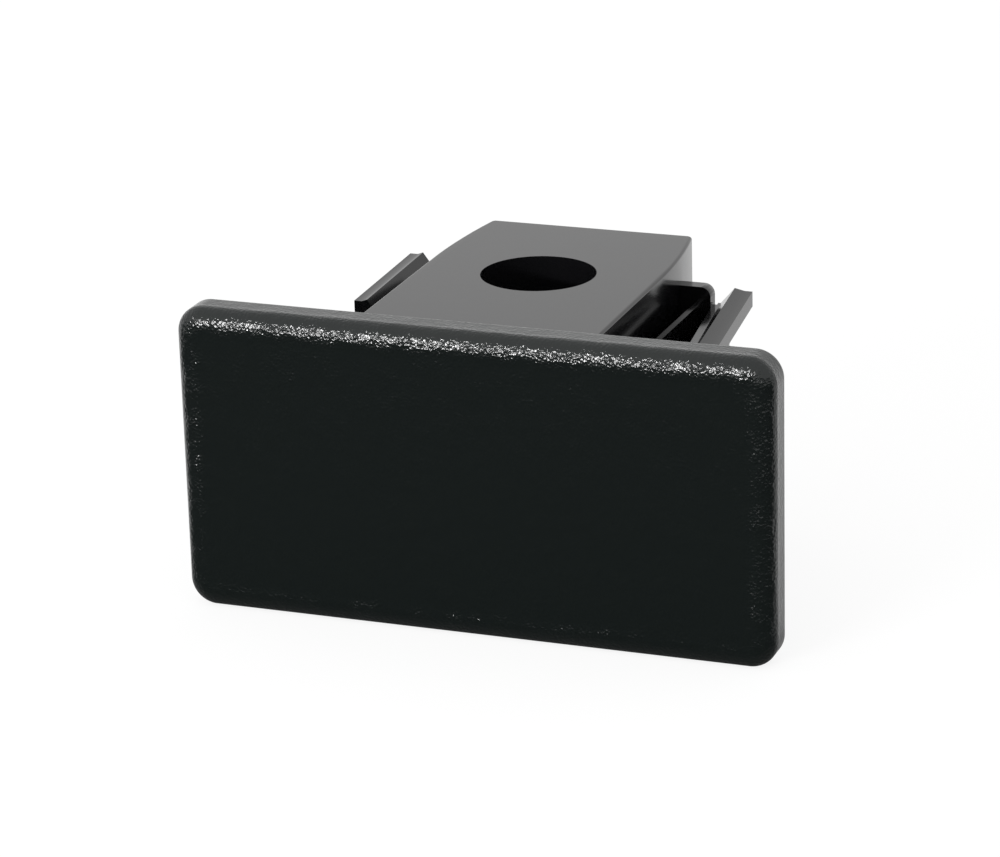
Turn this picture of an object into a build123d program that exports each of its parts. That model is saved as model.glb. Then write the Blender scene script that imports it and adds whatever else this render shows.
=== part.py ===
from build123d import *
import os

# Snap-in end cap for a C-section channel, 41 mm wide and 21 mm high, moulded in one piece.
# Frame: origin at the centre of the cover plate's seating face, which meets the end of the channel.
# The insert points along +Y, the channel's open side is up (+Z), and X runs across the channel.
# All sizes are in millimetres.

# Cover plate
PLATE_W = 41.0
PLATE_H = 21.0
PLATE_T = 2.5
PLATE_CORNER_R = 1.85
PLATE_FRONT_R = 1.2

# Central block, which fills the channel's slot
BLOCK_HALF_W = 8.2
BLOCK_LEN = 22.4
BLOCK_STRAIGHT = 12.4       # the sides are straight this far, and then curve in
BLOCK_TIP_HALF_W = 7.3
BLOCK_TIP_R = 0.4
BLOCK_EDGE_R = 0.2
BLOCK_TOP = 10.35           # a fine step below the plate's edge
INSERT_BOTTOM = -8.0        # clear of the channel's 2.4 mm web
HOLE_R = 3.9
HOLE_Y = 11.45

# Side walls, one beside each side of the block, with a deep groove between
WALL_LEN = 18.4
WALL_T = 1.1
WALL_TOP = 7.0
WALL_X_FRONT = 12.35        # inner face where the wall leaves the plate
WALL_X_REAR = 10.05         # inner face at the wall's rear end
WALL_CHAMFER = 0.3
GROOVE_FLOOR = 2.5

# Rib that stands in each groove
RIB_T = 0.4
RIB_TOP = 7.5
RIB_X_FRONT = 9.0
RIB_X_REAR = 9.3

# End wall that closes the rear of each groove
END_WALL_T = 1.0
END_WALL_X = 10.15
END_WALL_TOP = 8.38
END_WALL_R = 0.7

# Snap arm on top of each side wall: a bar with a raised lip along its outer side
ARM_SPAN = {1: (8.6, 18.5), -1: (11.0, 19.0)}   # front and rear ends; the left arm sits further back
ARM_X = (13.9, -0.061)      # x of the outer face at the plate, and its change for each mm of y
ARM_Z = (6.6, 0.076)        # z of the lip's outer edge, in the same way
ARM_DEPTH = 1.05            # height of the outer face
LIP_FLAT_W = 0.55
LIP_RISE_W = 0.7            # the lip's inner part climbs a little towards the block
LIP_RISE = 0.15
LIP_SLOPE = 0.87            # run of the slope behind the lip for each mm of its fall

SMALL = 0.3                 # overlap between shapes that are fused


def wall_x(y):
    """x of a side wall's inner face at depth y."""
    return WALL_X_FRONT + (WALL_X_REAR - WALL_X_FRONT) * y / WALL_LEN


def cover_plate():
    """Plate with rounded corners and a rounded front rim."""
    outline = RectangleRounded(PLATE_W, PLATE_H, PLATE_CORNER_R)
    plate = extrude(Plane.XZ * outline, amount=PLATE_T)
    front_rim = plate.faces().sort_by(Axis.Y)[0].edges()
    return fillet(front_rim, PLATE_FRONT_R)


def block():
    """Central block with curved lead-in sides, rounded tip corners and the vertical hole."""
    run = BLOCK_LEN - BLOCK_STRAIGHT
    inset = BLOCK_HALF_W - BLOCK_TIP_HALF_W
    curve_r = (run**2 + inset**2) / (2 * inset)
    shoulder = (BLOCK_HALF_W, BLOCK_STRAIGHT)
    tip = (BLOCK_TIP_HALF_W, BLOCK_LEN)
    right = Line((BLOCK_HALF_W, -SMALL), shoulder) + RadiusArc(shoulder, tip, -curve_r)
    outline = right + mirror(right, Plane.YZ)
    outline += Line((-BLOCK_TIP_HALF_W, BLOCK_LEN), tip)
    outline += Line((-BLOCK_HALF_W, -SMALL), (BLOCK_HALF_W, -SMALL))
    height = BLOCK_TOP - INSERT_BOTTOM
    body = extrude(Pos(0, 0, INSERT_BOTTOM) * make_face(outline), amount=height)
    tip_edges = body.edges().filter_by(Axis.Z).group_by(Axis.Y)[-1]
    body = fillet(tip_edges, BLOCK_TIP_R)
    top_edges = body.faces().sort_by(Axis.Z)[-1].edges()
    body = fillet([edge for edge in top_edges if edge.center().Y > 0], BLOCK_EDGE_R)
    return body


def wall_outline(x_front, x_rear, thickness, length):
    """Plan of a thin upright wall that leans from x_front at the plate to x_rear."""
    points = [(x_front, -SMALL), (x_front + thickness, -SMALL), (x_rear + thickness, length), (x_rear, length)]
    return make_face(Polyline(*points, close=True))


def side_wall():
    """Side wall, with the floor of the groove beside it and a chamfer along its inner top edge."""
    wall = Pos(0, 0, INSERT_BOTTOM) * wall_outline(WALL_X_FRONT, WALL_X_REAR, WALL_T, WALL_LEN)
    wall = extrude(wall, amount=WALL_TOP - INSERT_BOTTOM)
    inner_top = wall.faces().sort_by(Axis.Z)[-1].edges().sort_by(Axis.X)[0]
    wall = chamfer(inner_top, WALL_CHAMFER)
    floor_x = BLOCK_HALF_W - 2 * SMALL
    floor = [
        (floor_x, -SMALL),
        (WALL_X_FRONT + SMALL, -SMALL),
        (WALL_X_REAR + SMALL, WALL_LEN),
        (floor_x, WALL_LEN),
    ]
    floor = Pos(0, 0, INSERT_BOTTOM) * make_face(Polyline(*floor, close=True))
    return wall + extrude(floor, amount=GROOVE_FLOOR - INSERT_BOTTOM)


def groove_rib():
    """Thin rib that stands in the groove, from the plate to the end wall."""
    length = WALL_LEN - END_WALL_T + SMALL
    rib = Pos(0, 0, GROOVE_FLOOR - SMALL) * wall_outline(RIB_X_FRONT, RIB_X_REAR, RIB_T, length)
    return extrude(rib, amount=RIB_TOP - GROOVE_FLOOR + SMALL)


def end_wall():
    """Cross wall at the groove's rear, with a rounded outer top corner."""
    inner_x = BLOCK_HALF_W - 3 * SMALL
    low = GROOVE_FLOOR - SMALL
    corner = (END_WALL_X, END_WALL_TOP - END_WALL_R)
    outline = Polyline((END_WALL_X - END_WALL_R, END_WALL_TOP), (inner_x, END_WALL_TOP), (inner_x, low),
                       (END_WALL_X, low), corner)
    outline += RadiusArc(corner, (END_WALL_X - END_WALL_R, END_WALL_TOP), -END_WALL_R)
    face = make_face(Plane.XZ * outline)
    return Pos(0, WALL_LEN, 0) * extrude(face, amount=END_WALL_T)


def arm_section(y):
    """Upright section of the right snap arm at depth y, from its flat inner part out to the lip."""
    x = ARM_X[0] + ARM_X[1] * y
    z = ARM_Z[0] + ARM_Z[1] * y
    lip_x = x - LIP_FLAT_W - LIP_RISE_W
    lip_z = z + LIP_RISE
    points = [
        (wall_x(y) + SMALL, WALL_TOP),
        (lip_x - LIP_SLOPE * (lip_z - WALL_TOP), WALL_TOP),
        (lip_x, lip_z),
        (x - LIP_FLAT_W, z),
        (x, z),
        (x, z - ARM_DEPTH),
        (wall_x(y) + SMALL, z - ARM_DEPTH),
    ]
    return Pos(0, y, 0) * (Plane.XZ * make_face(Polyline(*points, close=True)))


def snap_arm(side):
    """Snap arm of one side (+1 right, -1 left), drawn on the right."""
    front, rear = ARM_SPAN[side]
    return loft([arm_section(front), arm_section(rear)], ruled=True)


def side_frame(side):
    """All that stands beside the block on one side."""
    frame = side_wall() + groove_rib() + end_wall() + snap_arm(side)
    return frame if side > 0 else mirror(frame, Plane.YZ)


def end_cap():
    """The whole cap as one solid."""
    cap = cover_plate() + block() + side_frame(1) + side_frame(-1)
    hole_h = BLOCK_TOP - INSERT_BOTTOM + 2
    hole = Pos(0, HOLE_Y, (BLOCK_TOP + INSERT_BOTTOM) / 2) * Cylinder(HOLE_R, hole_h)
    return cap - hole


os.makedirs("parts", exist_ok=True)
cap = end_cap()
export_step(cap, "parts/end_cap.step")
box = cap.bounding_box()
print("end_cap", len(cap.solids()), "solid", round(cap.volume), "mm3", box.min, box.max)
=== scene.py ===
import math

import bpy
import bmesh
import numpy as np
from mathutils import Matrix, Vector


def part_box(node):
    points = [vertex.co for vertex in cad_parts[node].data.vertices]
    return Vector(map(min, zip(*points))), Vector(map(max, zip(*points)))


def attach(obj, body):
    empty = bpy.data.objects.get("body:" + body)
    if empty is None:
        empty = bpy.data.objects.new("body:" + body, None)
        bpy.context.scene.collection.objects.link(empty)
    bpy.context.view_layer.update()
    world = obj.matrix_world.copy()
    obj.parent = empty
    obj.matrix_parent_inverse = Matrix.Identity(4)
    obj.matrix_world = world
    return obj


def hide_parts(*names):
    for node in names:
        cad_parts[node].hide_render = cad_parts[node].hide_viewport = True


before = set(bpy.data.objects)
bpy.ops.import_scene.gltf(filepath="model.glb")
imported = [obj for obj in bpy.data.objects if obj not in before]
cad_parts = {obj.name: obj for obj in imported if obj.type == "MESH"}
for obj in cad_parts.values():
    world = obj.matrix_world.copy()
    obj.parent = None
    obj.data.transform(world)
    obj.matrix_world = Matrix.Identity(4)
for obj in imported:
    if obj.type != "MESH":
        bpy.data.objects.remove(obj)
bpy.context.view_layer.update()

# The object is one moulding: a snap-in end cap for a C-section channel. It is dressed here as its two
# surfaces, the grained cover plate and the smooth insert behind it. Lengths are in metres.

cap_low, cap_high = (np.array(corner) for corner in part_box("end_cap"))
MM = 0.001


# ---- Insert ---------------------------------------------------------------------------------------------
# The polished part of the tool: central block with its hole, the groove walls, ribs and snap arms.
# It is the CAD solid cut off just inside the plate, with its moulded edges rounded.

CUT_Y = 0.02 * MM               # the plane it is cut at, just behind the plate's rear face
INSERT_ROOT = 0.4 * MM          # how far the insert runs into the plate
EDGE_R = 0.11 * MM              # radius the tool leaves on each edge
EDGE_STEPS = 3
SAME_POINT = 1e-7
FLAT_ANGLE = math.radians(0.6)  # triangles that meet flatter than this are one face
SHARP_ANGLE = math.radians(24)
WALL_TOP = 7.0 * MM
LEFT_ARM_Y = (10.9 * MM, 19.1 * MM)     # the left arm lies between these
LEFT_ARM_X = -10.3 * MM                 # and outside this
LEFT_ARM_REAR = 19.0 * MM               # its free end, which moves by the next value
LEFT_ARM_MORE = np.array((0.067, 1.1, 0.084)) * MM
LEFT_END_X = -9.0 * MM
LIP_X = (-12.65 * MM, 0.061)            # x of the lip's inner edge at the plate, and its change with y
LIP_NEAR = 0.06 * MM                    # points this near that line are on the lip
LIP_ABOVE_WALL = 0.3 * MM
LIP_NARROWER = 0.3 * MM
FOOT_FROM_LIP = (0.3 * MM, 1.3 * MM)    # the slope behind the lip ends between these distances from it
FOOT_NARROWER = 0.45 * MM
LEVEL_WITH = 0.02 * MM
END_NEAR = 0.05 * MM
PLASTIC_IOR = 1.46


def mesh_object(name, mesh):
    """Links a mesh to the scene as an object with that name."""
    piece = bpy.data.objects.new(name, mesh)
    bpy.context.scene.collection.objects.link(piece)
    return piece


def cut_insert(source):
    """Copy of the CAD mesh, merged, with everything in front of the plate's back plane cut away."""
    mesh = source.data.copy()
    mesh.materials.clear()
    form = bmesh.new()
    form.from_mesh(mesh)
    bmesh.ops.remove_doubles(form, verts=form.verts, dist=SAME_POINT)
    bmesh.ops.dissolve_limit(form, angle_limit=FLAT_ANGLE, verts=form.verts, edges=form.edges)
    everything = list(form.verts) + list(form.edges) + list(form.faces)
    cut = bmesh.ops.bisect_plane(form, geom=everything, dist=1e-8, clear_inner=True,
                                 plane_co=(0, CUT_Y, 0), plane_no=(0, 1, 0))
    rim = [item for item in cut["geom_cut"] if isinstance(item, bmesh.types.BMEdge)]
    filled = bmesh.ops.contextual_create(form, geom=rim)
    pushed = bmesh.ops.extrude_face_region(form, geom=filled["faces"])
    moved = [item for item in pushed["geom"] if isinstance(item, bmesh.types.BMVert)]
    bmesh.ops.translate(form, verts=moved, vec=(0, -INSERT_ROOT, 0))
    bmesh.ops.delete(form, geom=filled["faces"], context="FACES_ONLY")
    bmesh.ops.recalc_face_normals(form, faces=form.faces)
    form.to_mesh(mesh)
    form.free()
    return mesh


def trim_left_arm(mesh):
    """Moves the left arm's own points: the lip and its foot go outwards, then the free end goes back."""
    points = np.empty(3 * len(mesh.vertices))
    mesh.vertices.foreach_get("co", points)
    points = points.reshape(-1, 3)
    x, y, z = points.T.copy()
    from_lip = x - (LIP_X[0] + LIP_X[1] * y)
    on_arm = (y > LEFT_ARM_Y[0]) & (y < LEFT_ARM_Y[1]) & (x < LEFT_ARM_X)
    lip = on_arm & (np.abs(from_lip) < LIP_NEAR) & (z > WALL_TOP + LIP_ABOVE_WALL)
    foot = on_arm & (from_lip > FOOT_FROM_LIP[0]) & (from_lip < FOOT_FROM_LIP[1])
    foot &= np.abs(z - WALL_TOP) < LEVEL_WITH
    points[lip, 0] -= LIP_NARROWER
    points[foot, 0] -= FOOT_NARROWER
    end = (x < LEFT_END_X) & (np.abs(y - LEFT_ARM_REAR) < END_NEAR)
    points[end] += LEFT_ARM_MORE
    mesh.vertices.foreach_set("co", points.ravel())
    mesh.update()


insert = mesh_object("insert", cut_insert(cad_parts["end_cap"]))
trim_left_arm(insert.data)
for polygon in insert.data.polygons:
    polygon.use_smooth = True
rounding = insert.modifiers.new("edges", "BEVEL")
rounding.width = EDGE_R
rounding.segments = EDGE_STEPS
rounding.limit_method = "ANGLE"
rounding.angle_limit = SHARP_ANGLE
rounding.harden_normals = True
rounding.use_clamp_overlap = True
evened = insert.modifiers.new("flat_faces", "WEIGHTED_NORMAL")
evened.mode = "FACE_AREA"
evened.weight = 100
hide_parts("end_cap")
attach(insert, "root")


def start_plastic(name, colour, roughness):
    """New plastic: returns the material, its nodes, its links, its shader and the place socket."""
    material = bpy.data.materials.new(name)
    material.use_nodes = True
    nodes, links = material.node_tree.nodes, material.node_tree.links
    shader = nodes["Principled BSDF"]
    shader.inputs["Base Color"].default_value = colour
    shader.inputs["Roughness"].default_value = roughness
    shader.inputs["IOR"].default_value = PLASTIC_IOR
    place = nodes.new("ShaderNodeTexCoord").outputs["Object"]
    return material, nodes, links, shader, place


def ripples(nodes, links, place, scale, detail):
    """Noise with scale cells to the metre, as a height from 0 to 1."""
    noise = nodes.new("ShaderNodeTexNoise")
    noise.inputs["Scale"].default_value = scale
    noise.inputs["Detail"].default_value = detail
    links.new(place, noise.inputs["Vector"])
    return noise.outputs["Fac"]


def press_relief(nodes, links, shader, height, strength, depth):
    """Bumps the surface by a height, with 1 standing for that depth."""
    bump = nodes.new("ShaderNodeBump")
    bump.inputs["Strength"].default_value = strength
    bump.inputs["Distance"].default_value = depth
    links.new(height, bump.inputs["Height"])
    links.new(bump.outputs["Normal"], shader.inputs["Normal"])


def smooth_plastic():
    """Polished black moulding: mirror-like, with the faint waviness of a cooled face."""
    material, nodes, links, shader, place = start_plastic(
        "smooth_black_plastic", colour=(0.0040, 0.0040, 0.0045, 1), roughness=0.14)
    waves = ripples(nodes, links, place, scale=350, detail=3)
    press_relief(nodes, links, shader, waves, strength=0.12, depth=0.02 * MM)
    return material


insert.data.materials.append(smooth_plastic())


# ---- Cover plate ----------------------------------------------------------------------------------------
# The face that shows when the cap is fitted: a solid rounded plate whose outer side is spark-eroded to a
# fine leather-like grain, which runs round the front rim.

PLATE_W = cap_high[0] - cap_low[0]
PLATE_H = cap_high[2] - cap_low[2]
PLATE_T = -cap_low[1]
PLATE_CORNER_R = 1.85 * MM
RIM_INSET = 1.4 * MM            # the front rounding is a quarter ellipse: this far in
RIM_DEPTH = 1.0 * MM            # and this deep
PLATE_BACK_R = 0.08 * MM
BACK_STEPS = 4
SIDE_STEPS = 10
FRONT_STEPS = 24
AROUND = 1400                   # points along each ring
DOWN = 40                       # rings from the rim's inner edge to the middle line
SAME_RING_POINT = 1e-6


def rim_outline(inset):
    """The plate's outline drawn in by inset: a rounded rectangle, walked at even steps of length."""
    half_w = PLATE_W / 2 - PLATE_CORNER_R
    half_h = PLATE_H / 2 - PLATE_CORNER_R
    radius = PLATE_CORNER_R - inset
    arc = math.pi / 2 * PLATE_CORNER_R
    lengths = np.array([2 * half_h, arc, 2 * half_w, arc] * 2)
    ends = np.cumsum(lengths)
    s = np.arange(AROUND) / AROUND * ends[-1]
    part = np.searchsorted(ends, s, side="right")
    t = (s - (ends - lengths)[part]) / lengths[part]
    corner_x = np.array([half_w, half_w, half_w, -half_w, -half_w, -half_w, -half_w, half_w])
    corner_z = np.array([-half_h, half_h, half_h, half_h, half_h, -half_h, -half_h, -half_h])
    step_x = np.array([0, 0, -2 * half_w, 0, 0, 0, 2 * half_w, 0])
    step_z = np.array([2 * half_h, 0, 0, 0, -2 * half_h, 0, 0, 0])
    start = np.array([0, 0, 1, 1, 2, 2, 3, 3]) * math.pi / 2
    turn = np.array([0, 1, 0, 1, 0, 1, 0, 1]) * math.pi / 2
    angle = start[part] + turn[part] * t
    x = corner_x[part] + step_x[part] * t + radius * np.cos(angle)
    z = corner_z[part] + step_z[part] * t + radius * np.sin(angle)
    return x, z


def plate_grid():
    """Rings of one outline, each with an inset and a depth: the rear edge, the side, the front rounding."""
    back = np.linspace(0, math.pi / 2, BACK_STEPS)
    front = np.linspace(0, math.pi / 2, FRONT_STEPS)
    inset = np.concatenate([
        PLATE_BACK_R * (1 - np.sin(back)),
        np.zeros(SIDE_STEPS),
        RIM_INSET * (1 - np.cos(front)),
    ])
    depth = np.concatenate([
        -PLATE_BACK_R * (1 - np.cos(back)),
        np.linspace(-PLATE_BACK_R, RIM_DEPTH - PLATE_T, SIDE_STEPS + 2)[1:-1],
        RIM_DEPTH - PLATE_T - RIM_DEPTH * np.sin(front),
    ])
    rings = [rim_outline(i) for i in inset]
    x = np.array([ring[0] for ring in rings])
    z = np.array([ring[1] for ring in rings])
    y = np.repeat(depth[:, None], AROUND, axis=1)
    return np.stack([x, y, z], axis=-1)


def plate_mesh():
    """The rings joined by quads, with the flat front filled by rings that shrink to its middle line."""
    rings = plate_grid()
    inner = rings[-1]
    steps = np.linspace(0, 1, DOWN + 1)[1:]
    spine_half = (PLATE_W - PLATE_H) / 2
    spine_x = np.clip(inner[:, 0], -spine_half, spine_half)
    spine = np.stack([spine_x, inner[:, 1], np.zeros(AROUND)], axis=-1)
    flat = inner[None] + (spine - inner)[None] * steps[:, None, None]
    grid = np.concatenate([rings, flat])
    total = len(grid)
    points = grid.reshape(-1, 3)
    ring = np.arange(total - 1)[:, None] * AROUND
    a = np.arange(AROUND)[None]
    b = (a + 1) % AROUND
    quads = np.stack([ring + a, ring + b, ring + AROUND + b, ring + AROUND + a], axis=-1).reshape(-1, 4)
    mesh = bpy.data.meshes.new("cover_plate")
    mesh.from_pydata(points.tolist(), [], quads.tolist() + [list(range(AROUND))])
    form = bmesh.new()
    form.from_mesh(mesh)
    bmesh.ops.remove_doubles(form, verts=form.verts, dist=SAME_RING_POINT)
    bmesh.ops.recalc_face_normals(form, faces=form.faces)
    form.to_mesh(mesh)
    form.free()
    for polygon in mesh.polygons:
        polygon.use_smooth = True
    return mesh


plate = mesh_object("cover_plate", plate_mesh())
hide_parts("end_cap")
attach(plate, "root")


GRAINS_PER_M = 5000
PITS_PER_M = 6000
PATCHES_PER_M = 900
PATCH_DEPTH = (0.45, 1.0)       # share of the grain's depth in the shallow and the deep patches
FLAT_DEPTH = 0.5                # and on the flat front, a little in from the rim
FLAT_BEGINS = 0.5 * MM
SIDE_DEPTH = 0.5                # and on the sides, behind the rim
SIDE_BEGINS = 1.3               # as a multiple of the rim's depth
GRAIN_DEPTH = 0.05 * MM


def combine(nodes, links, operation, *values):
    """One sum, product or the like of the values, each of them a socket or a number."""
    step = nodes.new("ShaderNodeMath")
    step.operation = operation
    for socket, value in zip(step.inputs, values):
        if isinstance(value, bpy.types.NodeSocket):
            links.new(value, socket)
        else:
            socket.default_value = value
    return step.outputs["Value"]


def ramp(nodes, links, value, begin, end, low, high):
    """Runs from low to high in a straight line as value goes from begin to end."""
    slope = nodes.new("ShaderNodeMapRange")
    for name, number in (("From Min", begin), ("From Max", end), ("To Min", low), ("To Max", high)):
        slope.inputs[name].default_value = number
    links.new(value, slope.inputs["Value"])
    return slope.outputs["Result"]


def grained_plastic():
    """Spark-eroded black moulding: glossy grains a fifth of a millimetre across, deepest on the rim.

    The height is the distance to the nearest grain's centre plus fine noise, times the patches' depth, the
    flat front's and the sides'.
    """
    material, nodes, links, shader, place = start_plastic(
        "grained_black_plastic", colour=(0.0060, 0.0082, 0.0078, 1), roughness=0.15)
    grains = nodes.new("ShaderNodeTexVoronoi")
    grains.feature = "F1"
    grains.inputs["Scale"].default_value = GRAINS_PER_M
    links.new(place, grains.inputs["Vector"])
    pits = ripples(nodes, links, place, PITS_PER_M, detail=2)
    both = combine(nodes, links, "ADD", grains.outputs["Distance"], pits)

    patches = ripples(nodes, links, place, PATCHES_PER_M, detail=2)
    uneven = ramp(nodes, links, patches, 0.35, 0.65, *PATCH_DEPTH)

    axes = nodes.new("ShaderNodeSeparateXYZ")
    links.new(place, axes.inputs["Vector"])
    from_rim = []
    for axis, reach in (("X", PLATE_W / 2 - RIM_INSET), ("Z", PLATE_H / 2 - RIM_INSET)):
        out = combine(nodes, links, "ABSOLUTE", axes.outputs[axis])
        from_rim.append(combine(nodes, links, "SUBTRACT", out, reach))
    nearest = combine(nodes, links, "MAXIMUM", *from_rim)
    flat = ramp(nodes, links, nearest, -FLAT_BEGINS, 0.0, FLAT_DEPTH, 1.0)
    side = ramp(nodes, links, axes.outputs["Y"], -PLATE_T + RIM_DEPTH, -PLATE_T + SIDE_BEGINS * RIM_DEPTH,
                1.0, SIDE_DEPTH)

    share = combine(nodes, links, "MULTIPLY", combine(nodes, links, "MULTIPLY", flat, side), uneven)
    relief = combine(nodes, links, "MULTIPLY", both, share)
    press_relief(nodes, links, shader, relief, strength=0.8, depth=GRAIN_DEPTH)
    return material


plate.data.materials.append(grained_plastic())


# ---- Floor and light ------------------------------------------------------------------------------------
# A floor white to the eye, with painted shade in its reflections in front of the plate, an even white sky,
# and one narrow lamp low at the front left that picks out the grain.

floor_mesh = bpy.data.meshes.new("floor")
FLOOR_HALF = 0.6
floor_z = cap_low[2]
floor_mesh.from_pydata(
    [(-FLOOR_HALF, -FLOOR_HALF, floor_z), (FLOOR_HALF, -FLOOR_HALF, floor_z),
     (FLOOR_HALF, FLOOR_HALF, floor_z), (-FLOOR_HALF, FLOOR_HALF, floor_z)], [], [(0, 1, 2, 3)])
floor = mesh_object("floor", floor_mesh)


PAINTED_REFLECTED_TONE = (0.05, 0.9)    # the floor's grey in reflections and bounced light: painted shade, nearly black in front of the plate, and pale behind it
REFLECTED_FROM = (-4 * MM, 6 * MM)
EYE_GLOW = 0.85                 # share of plain white to the eye; the rest shows the shadow
MIX_A, MIX_B, MIX_OUT = 6, 7, 2     # the colour sockets of a Mix node


def white_floor():
    """White to the eye, with a faint trace of the cap's shadow.

    In reflections and bounced light it is painted nearly black in front of the plate and pale behind it.
    The dark part is painted shade that darkens what the plate's front face reflects.
    """
    material = bpy.data.materials.new("floor_white")
    material.use_nodes = True
    nodes, links = material.node_tree.nodes, material.node_tree.links
    shader = nodes["Principled BSDF"]
    shader.inputs["Roughness"].default_value = 0.9
    shader.inputs["Specular IOR Level"].default_value = 0.0
    eye = nodes.new("ShaderNodeLightPath").outputs["Is Camera Ray"]
    axes = nodes.new("ShaderNodeSeparateXYZ")
    links.new(nodes.new("ShaderNodeTexCoord").outputs["Object"], axes.inputs["Vector"])
    tone = nodes.new("ShaderNodeMix")
    tone.data_type = "RGBA"
    tone.inputs[MIX_B].default_value = (1, 1, 1, 1)
    # painted shade: in reflections and bounced light the floor runs from nearly black in front of the plate
    # to pale behind it
    links.new(ramp(nodes, links, axes.outputs["Y"], *REFLECTED_FROM, *PAINTED_REFLECTED_TONE), tone.inputs[MIX_A])
    links.new(eye, tone.inputs["Factor"])
    links.new(tone.outputs[MIX_OUT], shader.inputs["Base Color"])
    glow = nodes.new("ShaderNodeEmission")
    glow.inputs["Color"].default_value = (1, 1, 1, 1)
    mix = nodes.new("ShaderNodeMixShader")
    links.new(combine(nodes, links, "MULTIPLY", eye, EYE_GLOW), mix.inputs["Fac"])
    links.new(shader.outputs["BSDF"], mix.inputs[1])
    links.new(glow.outputs["Emission"], mix.inputs[2])
    links.new(mix.outputs["Shader"], nodes["Material Output"].inputs["Surface"])
    return material


floor.data.materials.append(white_floor())

world = bpy.data.worlds.new("studio")
bpy.context.scene.world = world
world.use_nodes = True
sky = world.node_tree.nodes["Background"]
sky.inputs["Color"].default_value = (1, 1, 1, 1)
sky.inputs["Strength"].default_value = 1.0


GRAIN_LIGHT_AT = Vector((-0.13, -0.36, 0.10))
lamp_data = bpy.data.lights.new("grain_light", "AREA")
lamp_data.shape = "RECTANGLE"
lamp_data.size, lamp_data.size_y = 0.16, 0.020
lamp_data.energy = 1.1
lamp = bpy.data.objects.new("grain_light", lamp_data)
lamp.location = GRAIN_LIGHT_AT
lamp.rotation_euler = (-GRAIN_LIGHT_AT).to_track_quat("-Z", "Y").to_euler()
bpy.context.scene.collection.objects.link(lamp)


# ---- Camera ---------------------------------------------------------------------------------------------
# Stands to the right of the plate's front and above it, a little rolled.

AZIMUTH = math.radians(20.815)
ELEVATION = math.radians(19.61)
ROLL = math.radians(-1.57)
AIM = Vector((1.308, 0.0, 3.4045)) * MM
DISTANCE = 261.06 * MM

ahead = Vector((-math.sin(AZIMUTH) * math.cos(ELEVATION), math.cos(AZIMUTH) * math.cos(ELEVATION),
                -math.sin(ELEVATION)))
level = Vector((math.cos(AZIMUTH), math.sin(AZIMUTH), 0.0))
above = level.cross(ahead)
right = math.cos(ROLL) * level + math.sin(ROLL) * above
up = math.cos(ROLL) * above - math.sin(ROLL) * level
lens = bpy.data.cameras.new("camera")
lens.lens = 145.08
lens.sensor_width = 36.0
lens.clip_start = 0.01
camera = bpy.data.objects.new("camera", lens)
turn = Matrix((right, up, -ahead)).transposed().to_4x4()
camera.matrix_world = Matrix.Translation(AIM - ahead * DISTANCE) @ turn
bpy.context.scene.collection.objects.link(camera)
bpy.context.scene.camera = camera
bpy.context.scene.view_settings.view_transform = "Standard"
